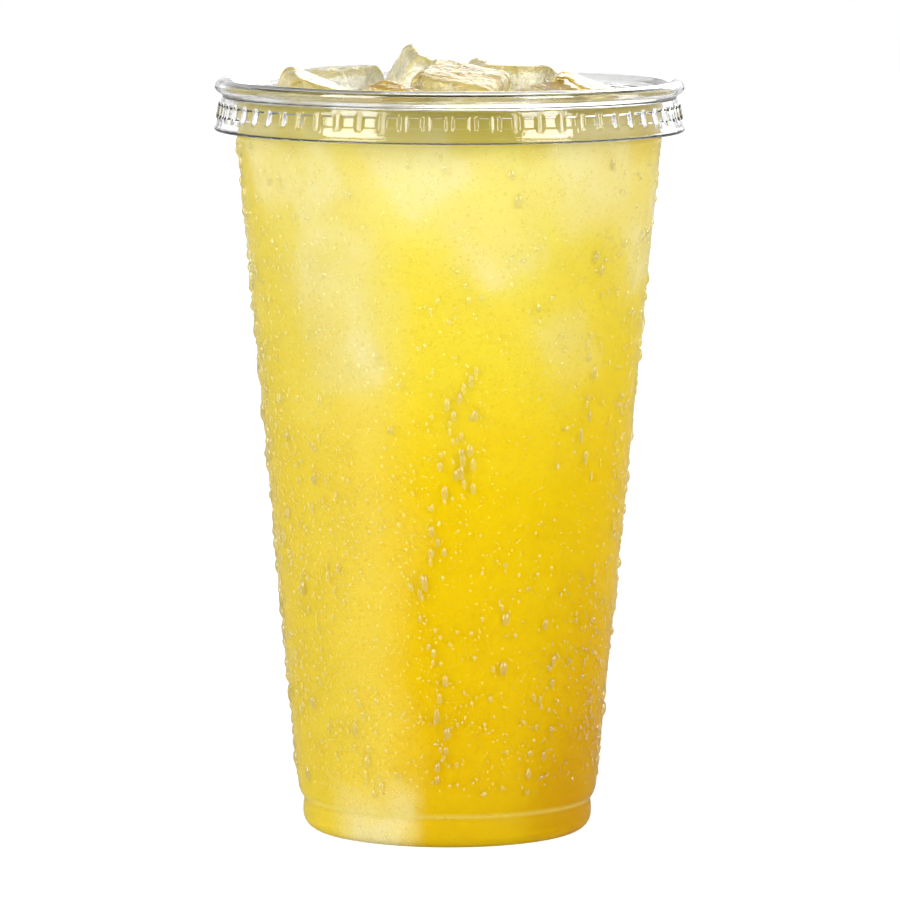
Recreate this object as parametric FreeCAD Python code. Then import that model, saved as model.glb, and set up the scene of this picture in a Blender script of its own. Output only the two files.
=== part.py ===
import FreeCAD, Part
import math
import os

# A clear plastic cold cup of lemonade, heaped with ice and closed at its rim by a press-on lid ring.
# Frame: +Z up, origin on the floor under the cup's axis. Millimetres throughout.

# ---- driving dimensions: cup ----
WALL = 0.7                    # thickness of the cup's plastic
FOOT_RADIUS = 27.7            # circle that the cup stands on
FOOT_ROUNDING = 3.5           # rounding from the foot up to the collar
COLLAR_RADIUS = 31.2          # stacking collar, below the crease
CREASE_RADIUS = 30.95
CREASE_HEIGHT = 6.7
SHOULDER_RADIUS = 32.3        # where the tapered body starts, above the crease
SHOULDER_HEIGHT = 9.8
BODY_TAPER = 0.0946           # growth of the body's radius for each mm of height
WALL_TOP = 160.1              # height at which the body's wall turns out into the curled rim
CURL_RADIUS = 47.5            # middle of the curled rim's round section
CURL_TUBE = 1.2
CURL_HEIGHT = 159.9
BASE_RECESS = 2.6             # how far the base plate stands above the floor
RECESS_RADIUS = 23.5

# ---- driving dimensions: lid ring ----
RING_WALL = 0.5
LIP_RADIUS = 50.55            # sharp flared lip at the bottom of the skirt
LIP_HEIGHT = 151.9
SKIRT_BOTTOM_RADIUS = 49.85
SKIRT_BOTTOM = 153.8
SKIRT_TOP_RADIUS = 49.15
SKIRT_TOP = 157.6
NECK_RADIUS = 48.55
NECK_HEIGHT = 158.7
BEAD_RADIUS = 1.5             # rounding of the bead that grips the curled rim
BEAD_CENTRE_RADIUS = 48.9
BEAD_CENTRE_HEIGHT = 160.8
PLUG_RADIUS = 44.9            # inner wall of the ring, just inside the cup's wall
PLUG_TOP = 160.6
PLUG_BOTTOM = 158.0
RIB_COUNT = 64                # grip ribs round the skirt
RIB_WIDTH = 1.2
RIB_PROUD = 0.35
RIB_BOTTOM = 154.0
RIB_TOP = 157.2

# ---- driving dimensions: contents ----
LEMONADE_LEVEL = 157.7
ICE_ROUNDING = 2.4
ICE_FOOT = 0.88               # share of a cube's top size that its foot has

# The ice that stands out of the drink, one row a cube:
# length, width, height, then the middle of its top (x, y, z), then its lean about X, about Y, and its turn about Z.
ICE_CUBES = [
    (20.0, 19.0, 22.0, -25.0, -9.0, 161.5, 6, 19, 12),
    (16.5, 17.0, 21.0, -24.4, 20.5, 163.4, -4, -5, 25),
    (17.0, 17.0, 25.0, -1.2, 13.0, 164.0, 10, 34, 14),
    (15.5, 15.5, 18.0, -13.6, -24.5, 160.7, 13, -13, 45),
    (18.5, 20.0, 23.0, 2.6, -5.5, 163.9, 10, 8, -14),
    (17.5, 17.0, 21.0, 13.5, 17.5, 164.9, 3, 2, 12),
    (15.5, 17.0, 20.0, 19.4, -16.0, 160.9, 6, -18, 8),
    (15.5, 16.0, 18.0, 29.6, -9.0, 162.0, 5, 17, -10),
]


def body_radius(height):
    """Outer radius of the cup's tapered body at a height."""
    return SHOULDER_RADIUS + BODY_TAPER * (height - SHOULDER_HEIGHT)


def point(radius, height):
    return FreeCAD.Vector(radius, 0, height)


def line(start, end):
    return Part.LineSegment(point(*start), point(*end)).toShape()


def arc(start, middle, end):
    return Part.Arc(point(*start), point(*middle), point(*end)).toShape()


def polyline(corners):
    return [line(start, end) for start, end in zip(corners, corners[1:])]


def revolve(edges):
    """Turn a closed outline in the XZ plane once round the Z axis into a solid."""
    face = Part.Face(Part.Wire(Part.__sortEdges__(edges)))
    return face.revolve(FreeCAD.Vector(0, 0, 0), FreeCAD.Vector(0, 0, 1), 360)


def quarter_point(centre, radius, angle_deg):
    angle = math.radians(angle_deg)
    return (centre[0] + radius * math.cos(angle), centre[1] + radius * math.sin(angle))


def inner_wall_corners():
    """Corners of the cup's inside, from the wall's top down into the foot's groove and in to the axis."""
    floor = BASE_RECESS + WALL
    shoulder = SHOULDER_HEIGHT + 0.2
    groove_turns = (0, -30, -60, -90)
    groove = [quarter_point((FOOT_RADIUS, FOOT_ROUNDING), FOOT_ROUNDING - WALL, turn) for turn in groove_turns]
    return [
        (body_radius(WALL_TOP) - WALL, WALL_TOP),
        (body_radius(shoulder) - WALL, shoulder),
        (CREASE_RADIUS - WALL, CREASE_HEIGHT + 0.6),
        (COLLAR_RADIUS - WALL, CREASE_HEIGHT - 1.0),
        *groove,
        (FOOT_RADIUS - 1.3, WALL),
        (RECESS_RADIUS + 0.3, floor),
        (0.0, floor),
    ]


def outer_wall_edges():
    """Outside of the cup: base plate, foot, rounded corner, collar, crease, shoulder, body."""
    rounding_centre = (FOOT_RADIUS, FOOT_ROUNDING)
    collar_bottom = (COLLAR_RADIUS, FOOT_ROUNDING)
    collar_top = (COLLAR_RADIUS, CREASE_HEIGHT - 1.4)
    crease = (CREASE_RADIUS, CREASE_HEIGHT)
    shoulder = (SHOULDER_RADIUS, SHOULDER_HEIGHT)
    shoulder_middle = (CREASE_RADIUS + 0.88, CREASE_HEIGHT + 1.45)
    edges = polyline([(0.0, BASE_RECESS), (RECESS_RADIUS, BASE_RECESS), (FOOT_RADIUS - 1.6, 0.0)])
    edges.append(line((FOOT_RADIUS - 1.6, 0.0), (FOOT_RADIUS, 0.0)))
    edges.append(arc((FOOT_RADIUS, 0.0), quarter_point(rounding_centre, FOOT_ROUNDING, -45), collar_bottom))
    edges.extend(polyline([collar_bottom, collar_top, crease]))
    edges.append(arc(crease, shoulder_middle, shoulder))
    edges.append(line(shoulder, (body_radius(WALL_TOP), WALL_TOP)))
    return edges


def make_cup():
    """The cup: one thin wall from base plate to top, with a round curled rim fused to it."""
    inside = inner_wall_corners()
    edges = outer_wall_edges()
    edges.append(line((body_radius(WALL_TOP), WALL_TOP), inside[0]))
    edges.extend(polyline(inside))
    edges.append(line(inside[-1], (0.0, BASE_RECESS)))
    curl = Part.makeTorus(CURL_RADIUS, CURL_TUBE, point(0, CURL_HEIGHT), point(0, 1))
    return revolve(edges).fuse(curl).removeSplitter()


def ring_edges():
    """Section of the lid ring: lip, ribbed skirt, neck and bead, then over the rim to the plug wall."""
    wall = RING_WALL
    bead = (BEAD_CENTRE_RADIUS, BEAD_CENTRE_HEIGHT)
    lip = (LIP_RADIUS, LIP_HEIGHT)
    lip_foot = (LIP_RADIUS - 0.35, LIP_HEIGHT - 0.6)
    skirt_bottom = (SKIRT_BOTTOM_RADIUS, SKIRT_BOTTOM)
    skirt_top = (SKIRT_TOP_RADIUS, SKIRT_TOP)
    neck = (NECK_RADIUS, NECK_HEIGHT)
    bead_bottom = quarter_point(bead, BEAD_RADIUS, -70)
    bead_top = quarter_point(bead, BEAD_RADIUS, 90)
    plug_corner = (PLUG_RADIUS, PLUG_TOP)
    plug_foot = (PLUG_RADIUS, PLUG_BOTTOM)
    edges = [line(lip_foot, lip)]
    edges.append(arc(lip, (SKIRT_BOTTOM_RADIUS + 0.2, (LIP_HEIGHT + SKIRT_BOTTOM) / 2), skirt_bottom))
    edges.extend(polyline([skirt_bottom, skirt_top, neck, bead_bottom]))
    edges.append(arc(bead_bottom, quarter_point(bead, BEAD_RADIUS, 10), bead_top))
    edges.extend(polyline([bead_top, plug_corner, plug_foot, (PLUG_RADIUS + wall, PLUG_BOTTOM)]))
    # the inner side of the section, back down to the lip
    under_plug = (PLUG_RADIUS + wall, PLUG_TOP - 0.3)
    under_top = (BEAD_CENTRE_RADIUS, BEAD_CENTRE_HEIGHT + BEAD_RADIUS - wall)
    under_bead = quarter_point(bead, BEAD_RADIUS - wall, -60)
    edges.append(line((PLUG_RADIUS + wall, PLUG_BOTTOM), under_plug))
    edges.append(line(under_plug, under_top))
    edges.append(arc(under_top, quarter_point(bead, BEAD_RADIUS - wall, 15), under_bead))
    edges.extend(polyline([
        under_bead,
        (NECK_RADIUS - wall, NECK_HEIGHT - 0.1),
        (SKIRT_TOP_RADIUS - wall, SKIRT_TOP - 0.1),
        (SKIRT_BOTTOM_RADIUS - wall, SKIRT_BOTTOM - 0.1),
        (SKIRT_BOTTOM_RADIUS - wall, LIP_HEIGHT + 0.7),
        lip_foot,
    ]))
    return edges


def make_rib(angle_deg):
    """One upright grip rib, proud of the skirt, with its long edges rounded."""
    depth = 2 * RIB_PROUD
    rib = Part.makeBox(depth, RIB_WIDTH, RIB_TOP - RIB_BOTTOM, FreeCAD.Vector(-depth, -RIB_WIDTH / 2, 0))
    outer_edges = [edge for edge in rib.Edges if edge.BoundBox.XMin > -0.001]
    rib = rib.makeFillet(0.25, outer_edges)
    lean = math.degrees(math.atan2(SKIRT_BOTTOM_RADIUS - SKIRT_TOP_RADIUS, SKIRT_TOP - SKIRT_BOTTOM))
    rib.rotate(FreeCAD.Vector(0, 0, 0), FreeCAD.Vector(0, 1, 0), -lean)
    share = (RIB_BOTTOM - SKIRT_BOTTOM) / (SKIRT_TOP - SKIRT_BOTTOM)
    radius = SKIRT_BOTTOM_RADIUS + share * (SKIRT_TOP_RADIUS - SKIRT_BOTTOM_RADIUS) + RIB_PROUD
    rib.translate(FreeCAD.Vector(radius, 0, RIB_BOTTOM))
    rib.rotate(FreeCAD.Vector(0, 0, 0), FreeCAD.Vector(0, 0, 1), angle_deg)
    return rib


def make_lid_ring():
    ribs = [make_rib(360.0 * index / RIB_COUNT) for index in range(RIB_COUNT)]
    return revolve(ring_edges()).multiFuse(ribs)


def rectangle(length, width, height):
    corners = [(-length / 2, -width / 2), (length / 2, -width / 2), (length / 2, width / 2), (-length / 2, width / 2)]
    corners.append(corners[0])
    return Part.makePolygon([FreeCAD.Vector(x, y, height) for x, y in corners])


def make_ice_cube(length, width, height, x, y, top, lean_x, lean_y, turn):
    """A block of ice with rounded edges, a little smaller at its foot, leaning in the heap."""
    foot = rectangle(ICE_FOOT * length, ICE_FOOT * width, -height)
    block = Part.makeLoft([foot, rectangle(length, width, 0.0)], True)
    block = block.makeFillet(ICE_ROUNDING, block.Edges)
    block.Placement = FreeCAD.Placement(
        FreeCAD.Vector(x, y, top), FreeCAD.Rotation(turn, lean_y, lean_x))
    return block


def make_ice():
    """Each cube gives way where it would run into one that was laid before it."""
    laid = []
    for row in ICE_CUBES:
        cube = make_ice_cube(*row)
        for other in laid:
            cube = cube.cut(other)
        laid.append(max(cube.Solids, key=lambda solid: solid.Volume))
    return laid


def make_lemonade(ice):
    """The drink fills the cup up to its level, and leaves room for the ice that is in it."""
    corners = inner_wall_corners()[1:]
    brim = (body_radius(LEMONADE_LEVEL) - WALL, LEMONADE_LEVEL)
    edges = polyline([brim] + corners + [(0.0, LEMONADE_LEVEL), brim])
    drink = revolve(edges).cut(Part.makeCompound(ice))
    return max(drink.Solids, key=lambda solid: solid.Volume)


def single_solid(shape):
    """Unwrap a compound that holds one solid."""
    if len(shape.Solids) != 1:
        raise ValueError("expected one solid, found %d" % len(shape.Solids))
    return shape.Solids[0]


def main():
    ice = make_ice()
    nodes = {
        "cup": make_cup(),
        "lid_ring": make_lid_ring(),
        "lemonade": make_lemonade(ice),
    }
    for number, cube in enumerate(ice, start=1):
        nodes["ice_%d" % number] = cube
    os.makedirs("parts", exist_ok=True)
    for name, shape in nodes.items():
        solid = single_solid(shape)
        solid.exportStep("parts/%s.step" % name)
        box = solid.BoundBox
        print("%-10s valid %s volume %.0f mm3, z %.1f to %.1f" % (
            name, solid.isValid(), solid.Volume, box.ZMin, box.ZMax))


main()
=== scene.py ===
# %% [markdown]
# # A cold cup of lemonade
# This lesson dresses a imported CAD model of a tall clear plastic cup: cloudy lemonade, ice cubes, a
# press-on lid ring and the fine water that forms on cold plastic. The CAD says where everything is,
# and the meshes and materials made here say how it looks.

# %% Load the frame
import math
import random

import bmesh
import bpy
import numpy as np
from mathutils import Matrix, Vector, noise
from mathutils.bvhtree import BVHTree


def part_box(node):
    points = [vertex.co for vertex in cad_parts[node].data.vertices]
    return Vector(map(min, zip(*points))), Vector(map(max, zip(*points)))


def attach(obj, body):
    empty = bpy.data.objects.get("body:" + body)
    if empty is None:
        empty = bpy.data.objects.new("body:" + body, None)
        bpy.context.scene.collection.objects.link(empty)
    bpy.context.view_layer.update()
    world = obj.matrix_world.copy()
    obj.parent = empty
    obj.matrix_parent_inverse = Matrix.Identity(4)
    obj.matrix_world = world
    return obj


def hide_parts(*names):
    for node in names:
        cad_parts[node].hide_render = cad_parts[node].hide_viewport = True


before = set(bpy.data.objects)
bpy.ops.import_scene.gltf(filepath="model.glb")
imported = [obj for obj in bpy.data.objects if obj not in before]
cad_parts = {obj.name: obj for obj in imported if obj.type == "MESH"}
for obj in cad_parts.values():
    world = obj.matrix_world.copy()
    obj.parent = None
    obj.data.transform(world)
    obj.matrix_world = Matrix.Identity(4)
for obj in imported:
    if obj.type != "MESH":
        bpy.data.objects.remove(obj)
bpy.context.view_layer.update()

MM = 0.001

# %% [markdown]
# ## Sizes read from the frame
# The cup's height, the ring's width and the drink's level come from the CAD nodes. What a box can't
# say, such as the collar above the foot, is written once here in millimetres.

# %% Sizes
cup_low, cup_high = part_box("cup")
ring_low, ring_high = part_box("lid_ring")
drink_low, drink_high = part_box("lemonade")

LEVEL = round(drink_high[2] / MM, 1)          # the drink's surface
RING_RADIUS = ring_high[0] / MM               # the lip of the lid ring
RING_TOP = ring_high[2] / MM
WALL = 0.7
FOOT_RADIUS = 27.7
FOOT_ROUNDING = 3.5
COLLAR_RADIUS = 31.2
CREASE_RADIUS = 30.95
CREASE_HEIGHT = 6.7
SHOULDER_RADIUS = 32.3
SHOULDER_HEIGHT = 9.8
BODY_TAPER = 0.0946
WALL_TOP = 160.1
BASE_RECESS = 2.6


def body_radius(height):
    """Outer radius of the cup's tapered wall at a height, in mm."""
    return SHOULDER_RADIUS + BODY_TAPER * (height - SHOULDER_HEIGHT)


for label, low, high in (("cup", cup_low, cup_high),
                         ("ring", ring_low, ring_high),
                         ("drink", drink_low, drink_high)):
    print("%s from %.1f to %.1f mm above the floor" % (label, low[2] / MM, high[2] / MM))
print("drink level %.1f mm, ring radius %.2f mm, ring top %.1f mm" % (LEVEL, RING_RADIUS, RING_TOP))

# %% [markdown]
# ## Camera
# A product picture of a tall cup is taken from well back with a long lens, so that its sides stay
# nearly straight, and from a little above the rim, so that the ice shows.

# %% Camera
CAMERA_DISTANCE = 1452.0
CAMERA_HEIGHT = 243.0
CAMERA_PITCH = 6.323          # degrees below the horizon
CAMERA_ROLL = 0.19
CAMERA_PAN = -0.014
LENS = 270.7

camera_data = bpy.data.cameras.new("camera")
camera_data.lens = LENS
camera_data.sensor_width = 36.0
camera_data.clip_end = 50.0
camera = bpy.data.objects.new("camera", camera_data)
bpy.context.collection.objects.link(camera)
place = Matrix.Translation((0, -CAMERA_DISTANCE * MM, CAMERA_HEIGHT * MM))
pan = Matrix.Rotation(math.radians(CAMERA_PAN), 4, "Z")
tilt = Matrix.Rotation(math.radians(90 - CAMERA_PITCH), 4, "X")
roll = Matrix.Rotation(math.radians(CAMERA_ROLL), 4, "Z")
camera.matrix_world = place @ (pan @ tilt) @ roll
bpy.context.scene.camera = camera
print("camera at", [round(value, 3) for value in camera.location], "lens", LENS)

# %% [markdown]
# ## Small helpers for meshes
# Nearly everything on this object is round, so it is drawn as an outline and turned about the axis.
# A helper makes arcs for the outlines, and another turns a list of points into a mesh with soft
# shading that breaks only at real edges.

# %% Mesh helpers
def arc(centre, radius, start, end, steps):
    """Points of an arc in an outline, from start to end degrees."""
    angles = np.radians(np.linspace(start, end, steps))
    return [(centre[0] + radius * math.cos(a), centre[1] + radius * math.sin(a)) for a in angles]


def mesh_piece(name, verts, faces, sharp_degrees=40):
    """A new object from points in mm, smooth except where faces meet at more than an angle."""
    mesh = bpy.data.meshes.new(name)
    mesh.from_pydata([tuple(v) for v in np.asarray(verts) * MM], [], faces)
    mesh.polygons.foreach_set("use_smooth", [True] * len(mesh.polygons))
    if sharp_degrees:
        mesh.set_sharp_from_angle(angle=math.radians(sharp_degrees))
    mesh.update()
    piece = bpy.data.objects.new(name, mesh)
    bpy.context.collection.objects.link(piece)
    return piece


def weld(piece, distance=0.0005):
    """Join points that lie on each other, such as a lathed outline's ends on the axis."""
    work = bmesh.new()
    work.from_mesh(piece.data)
    bmesh.ops.remove_doubles(work, verts=work.verts, dist=distance * MM)
    bmesh.ops.recalc_face_normals(work, faces=work.faces)
    work.to_mesh(piece.data)
    work.free()


def lathe(name, outline, segments, relief=None, closed=True, sharp_degrees=40):
    """Turn an outline of (radius, height) points once round Z. relief may move the points."""
    outline = np.array(outline, dtype=float)
    theta = np.arange(segments) * (2 * math.pi / segments)
    radius = np.repeat(outline[None, :, 0], segments, axis=0)
    height = np.repeat(outline[None, :, 1], segments, axis=0)
    angle = np.repeat(theta[:, None], len(outline), axis=1)
    if relief:
        radius, height = relief(radius, height, angle)
    verts = np.stack([radius * np.cos(angle), radius * np.sin(angle), height], axis=-1).reshape(-1, 3)
    count = len(outline)
    last = count if closed else count - 1
    faces = []
    for turn in range(segments):
        here, after = turn * count, ((turn + 1) % segments) * count
        for step in range(last):
            following = (step + 1) % count
            faces.append((here + step, after + step, after + following, here + following))
    piece = mesh_piece(name, verts, faces, sharp_degrees=0)
    weld(piece)
    piece.data.set_sharp_from_angle(angle=math.radians(sharp_degrees))
    print(name, "has", len(piece.data.polygons), "faces")
    return piece


# %% [markdown]
# ## The cup
# A thermoformed cup is one thin clear wall. It stands on a hollow foot ring round a raised base
# plate, so the drink fills the foot too. Above it come a stacking collar, a crease and the tapered
# body, which ends in a curled rim. The outline follows the outside up and the inside down, so the
# mesh is a closed wall of real thickness, which glass-like shaders need to bend light as it does.

# %% Cup wall
def rounded(corner_before, corner, corner_after, size, steps=5):
    """A small rounding at an outline's corner, as a quadratic curve."""
    before, at, after = (np.array(c, dtype=float) for c in (corner_before, corner, corner_after))
    start = at + (before - at) / np.linalg.norm(before - at) * size
    end = at + (after - at) / np.linalg.norm(after - at) * size
    out = []
    for share in np.linspace(0, 1, steps):
        out.append(tuple((1 - share) ** 2 * start + 2 * share * (1 - share) * at + share ** 2 * end))
    return out


def wall_heights(low, high, count):
    """Evenly spaced heights, both ends included."""
    return [low + (high - low) * share for share in np.linspace(0, 1, count)]


PLATE_EDGE = 23.8             # where the base plate turns down into the foot ring
PLATE_FLAT = 14.0
FOOT_CONTACT = 1.3            # width of the ring that the cup stands on


def foot_groove(into_wall):
    """The inside of the hollow foot and the base plate, as points that go down and in to the axis."""
    groove = arc((FOOT_RADIUS, FOOT_ROUNDING), FOOT_ROUNDING - WALL + into_wall, 0, -90, 9)
    bottom = WALL - into_wall
    floor = BASE_RECESS + WALL - into_wall
    contact, plate = (FOOT_RADIUS - FOOT_CONTACT, bottom), (PLATE_EDGE, floor)
    groove += rounded((FOOT_RADIUS, bottom), contact, plate, 0.5)
    groove += rounded(contact, plate, (PLATE_FLAT, floor), 0.6)
    return groove + [(PLATE_FLAT, floor), (0.0, floor)]


collar_top = (COLLAR_RADIUS, CREASE_HEIGHT - 1.4)
crease = (CREASE_RADIUS, CREASE_HEIGHT)
shoulder = (SHOULDER_RADIUS, SHOULDER_HEIGHT)
CURL_CENTRE = (47.5, 159.9)
CURL_TUBE = 1.2
STACK_LINE = 149.2            # a low bead that keeps stacked cups from jamming

plate_rim = (23.5, BASE_RECESS)
foot_inner = (FOOT_RADIUS - 1.6, 0.0)
cup_outside = [(0.0, BASE_RECESS), (21.0, BASE_RECESS)]
cup_outside += rounded((21.0, BASE_RECESS), plate_rim, foot_inner, 1.2)
cup_outside += rounded(plate_rim, foot_inner, (FOOT_RADIUS, 0.0), 0.6)
cup_outside += arc((FOOT_RADIUS, FOOT_ROUNDING), FOOT_ROUNDING, -90, 0, 12)
cup_outside += rounded((COLLAR_RADIUS, FOOT_ROUNDING), collar_top, crease, 0.5)
cup_outside += rounded(collar_top, crease, (CREASE_RADIUS + 0.5, CREASE_HEIGHT + 0.55), 0.25)
cup_outside += [(CREASE_RADIUS + 0.62, CREASE_HEIGHT + 0.85), (CREASE_RADIUS + 0.94, CREASE_HEIGHT + 1.5),
                (CREASE_RADIUS + 1.2, CREASE_HEIGHT + 2.3), shoulder]
cup_outside += [(body_radius(z), z) for z in wall_heights(SHOULDER_HEIGHT + 3, STACK_LINE - 1.0, 22)]
cup_outside += [(body_radius(STACK_LINE + step) + 0.16 * math.cos(step * math.pi), STACK_LINE + step)
                for step in (-0.5, -0.3, -0.1, 0.1, 0.3, 0.5)]
cup_outside += [(body_radius(z), z) for z in wall_heights(STACK_LINE + 1.0, 158.6, 4)]
cup_outside += arc(CURL_CENTRE, CURL_TUBE, 212, 500, 26)
inside_top = WALL_TOP - 0.2
cup_inside = [(body_radius(z) - WALL, z) for z in wall_heights(inside_top, SHOULDER_HEIGHT + 1.0, 24)]
cup_inside += [(CREASE_RADIUS - WALL + 0.5, CREASE_HEIGHT + 1.2),
               (CREASE_RADIUS - WALL, CREASE_HEIGHT + 0.2),
               (COLLAR_RADIUS - WALL, CREASE_HEIGHT - 1.2)]
cup_inside += foot_groove(0.0)

cup = lathe("cup_wall", cup_outside + cup_inside, 256, closed=False)
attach(cup, "root")
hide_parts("cup")

# %% [markdown]
# ## The lid ring
# The ring is a thin clear moulding: a flared lip, a skirt with upright grip ribs and shallow windows
# between them, a neck, and a rolled bead that grips the cup's rim, then a short plug wall
# inside. The ribs repeat every few degrees, so the relief is a function of the angle that pushes
# the skirt's outer points in and out, rather than dozens of separate blocks.

# %% Lid ring
LIP_HEIGHT = 151.9
SKIRT_BOTTOM = (49.85, 153.8)
SKIRT_TOP = (49.15, 157.6)
NECK = (48.55, 158.7)
BEAD = (48.9, 160.8)
BEAD_ROUNDING = 1.5
PLUG_RADIUS = 44.9
RING_WALL = 0.5
RIB_COUNT = 64
RIB_HALF_WIDTH = 0.62
RIB_PROUD = 0.34
RIB_SPAN = (153.9, 157.3)
WINDOW_SUNK = 0.26
WINDOW_SPAN = (154.5, 156.7)
WINDOW_HALF_WIDTH = 1.45


def soft_box(value, low, high, blur):
    """One between low and high, falling smoothly to zero over blur on each side."""
    rise = np.clip((value - low) / blur + 0.5, 0, 1)
    fall = np.clip((high - value) / blur + 0.5, 0, 1)
    return (rise * rise * (3 - 2 * rise)) * (fall * fall * (3 - 2 * fall))


def skirt_relief(radius, height, angle):
    """Raise the grip ribs and sink the windows on the skirt's outer side."""
    pitch = 2 * math.pi / RIB_COUNT
    along = ((angle / pitch + 0.5) % 1.0 - 0.5) * pitch * SKIRT_TOP[0]
    between = ((angle / pitch) % 1.0 - 0.5) * pitch * SKIRT_TOP[0]
    wall = SKIRT_BOTTOM[0] + (SKIRT_TOP[0] - SKIRT_BOTTOM[0]) * (
        (height - SKIRT_BOTTOM[1]) / (SKIRT_TOP[1] - SKIRT_BOTTOM[1]))
    outer = np.clip((radius - wall + 0.2) / 0.1, 0, 1)
    rib = soft_box(along, -RIB_HALF_WIDTH, RIB_HALF_WIDTH, 0.45)
    rib = rib * soft_box(height, *RIB_SPAN, 0.5)
    window = soft_box(between, -WINDOW_HALF_WIDTH, WINDOW_HALF_WIDTH, 0.35)
    window = window * soft_box(height, *WINDOW_SPAN, 0.35)
    return radius + outer * (RIB_PROUD * rib - WINDOW_SUNK * window), height


lip = (RING_RADIUS - 0.02, LIP_HEIGHT)
ring_outside = [(RING_RADIUS - 0.35, LIP_HEIGHT - 0.6), (RING_RADIUS - 0.12, LIP_HEIGHT - 0.42), lip]
ring_outside += [(50.2, 152.35), (50.0, 152.8), (49.9, 153.3)]
skirt_steps = np.linspace(0, 1, 26)
ring_outside += [(SKIRT_BOTTOM[0] + s * (SKIRT_TOP[0] - SKIRT_BOTTOM[0]),
                  SKIRT_BOTTOM[1] + s * (SKIRT_TOP[1] - SKIRT_BOTTOM[1])) for s in skirt_steps]
ring_outside += rounded(SKIRT_TOP, NECK, (49.4, 159.4), 0.5)
ring_outside += arc(BEAD, BEAD_ROUNDING, -70, 90, 16)
ring_outside += rounded((BEAD[0], RING_TOP), (PLUG_RADIUS, 160.6), (PLUG_RADIUS, 158.0), 0.5)
ring_outside += [(PLUG_RADIUS, 158.2), (PLUG_RADIUS + 0.25, 158.0)]
ring_inside = [(PLUG_RADIUS + RING_WALL, 158.2), (PLUG_RADIUS + RING_WALL, 160.1),
               (PLUG_RADIUS + 0.75, 160.42), (48.4, 161.59)]
ring_inside += arc(BEAD, BEAD_ROUNDING - RING_WALL, 85, -60, 14)
ring_inside += [(48.05, 158.6), (48.65, 157.5), (49.36, 153.6), (49.36, 152.7), (49.9, 151.5)]

STEPS_PER_RIB = 16
ring = lathe("lid_ring_clear", ring_outside + ring_inside, RIB_COUNT * STEPS_PER_RIB,
             relief=skirt_relief, sharp_degrees=50)
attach(ring, "root")
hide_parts("lid_ring")

# %% [markdown]
# ## The drink
# A liquid in a clear cup has to touch the wall, or a bright air gap shows all round. So the drink's
# mesh reaches a tenth of a millimetre into the plastic. Its surface creeps up the wall a little, as
# water does, and is not quite flat.

# %% Lemonade
INTO_WALL = 0.12


def drink_radius(height):
    """Radius of the drink at a height, just inside the plastic."""
    return body_radius(height) - WALL + INTO_WALL


drink_outline = foot_groove(INTO_WALL)[::-1]
drink_outline += [(COLLAR_RADIUS - WALL + INTO_WALL, CREASE_HEIGHT - 1.2),
                  (CREASE_RADIUS - WALL + INTO_WALL, CREASE_HEIGHT + 0.2),
                  (CREASE_RADIUS - WALL + 0.5 + INTO_WALL, CREASE_HEIGHT + 1.2)]
drink_outline += [(drink_radius(z), z) for z in wall_heights(SHOULDER_HEIGHT + 1.0, LEVEL, 160)]
brim = drink_radius(LEVEL)
drink_outline += [(brim - 0.12, LEVEL + 0.22), (brim - 0.3, LEVEL + 0.12), (brim - 0.7, LEVEL)]
drink_outline += [(brim * (1 - share), LEVEL - 0.15) for share in np.linspace(0.04, 1.0, 24)]


def ripples(radius, height, angle):
    """Low swells on the drink's surface."""
    x, y = radius * np.cos(angle), radius * np.sin(angle)
    swell = 0.10 * np.sin(0.31 * x + 0.7) * np.cos(0.27 * y) + 0.05 * np.sin(0.83 * x - 0.61 * y)
    top = np.clip((height - (LEVEL - 0.3)) / 0.1, 0, 1) * np.clip((brim - 0.8 - radius) / 4.0, 0, 1)
    return radius, height + swell * top


drink = lathe("lemonade_body", drink_outline, 320, relief=ripples, closed=False)
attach(drink, "root")
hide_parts("lemonade")

# %% [markdown]
# ## Ice
# A wet ice cube has soft corners, shallow hollows and a skin that is nowhere flat. For the cubes
# that stand out of the drink the CAD solid is copied, remeshed finely and pushed about by two
# scales of noise. The sunk cubes start as a cube whose points are pulled onto a rounded block.

# %% Ice helpers
def chip(point, seed, broad, fine):
    """How far a point of ice is moved along its normal, in mm: broad hollows plus small chips."""
    shifted = Vector(point) + Vector((seed * 17.3, seed * 5.1, seed * 9.7))
    hollow = noise.noise(shifted / 9.0)
    facet = abs(noise.noise(shifted / 4.2)) - 0.25
    grain = noise.noise(shifted / 1.3)
    return broad * hollow - broad * 0.5 * facet + fine * grain


def roughen(piece, seed, broad, fine):
    """Move every point of a piece along its normal by the chip noise."""
    mesh = piece.data
    moved = []
    for vertex in mesh.vertices:
        offset = chip(vertex.co / MM, seed, broad, fine)
        moved.append(vertex.co + vertex.normal * offset * MM)
    for vertex, place in zip(mesh.vertices, moved):
        vertex.co = place
    mesh.polygons.foreach_set("use_smooth", [True] * len(mesh.polygons))
    mesh.update()


def apply_modifiers(piece):
    """Replace a piece's mesh by what its modifiers make of it."""
    graph = bpy.context.evaluated_depsgraph_get()
    finished = bpy.data.meshes.new_from_object(piece.evaluated_get(graph))
    piece.modifiers.clear()
    piece.data = finished


# %% [markdown]
# ## The ice that stands out
# Each cube keeps the size and tilt of its CAD solid. The remesh gives it an even skin of small
# faces, the smoothing melts its corners, and the chip noise takes away the last flat faces.

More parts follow.
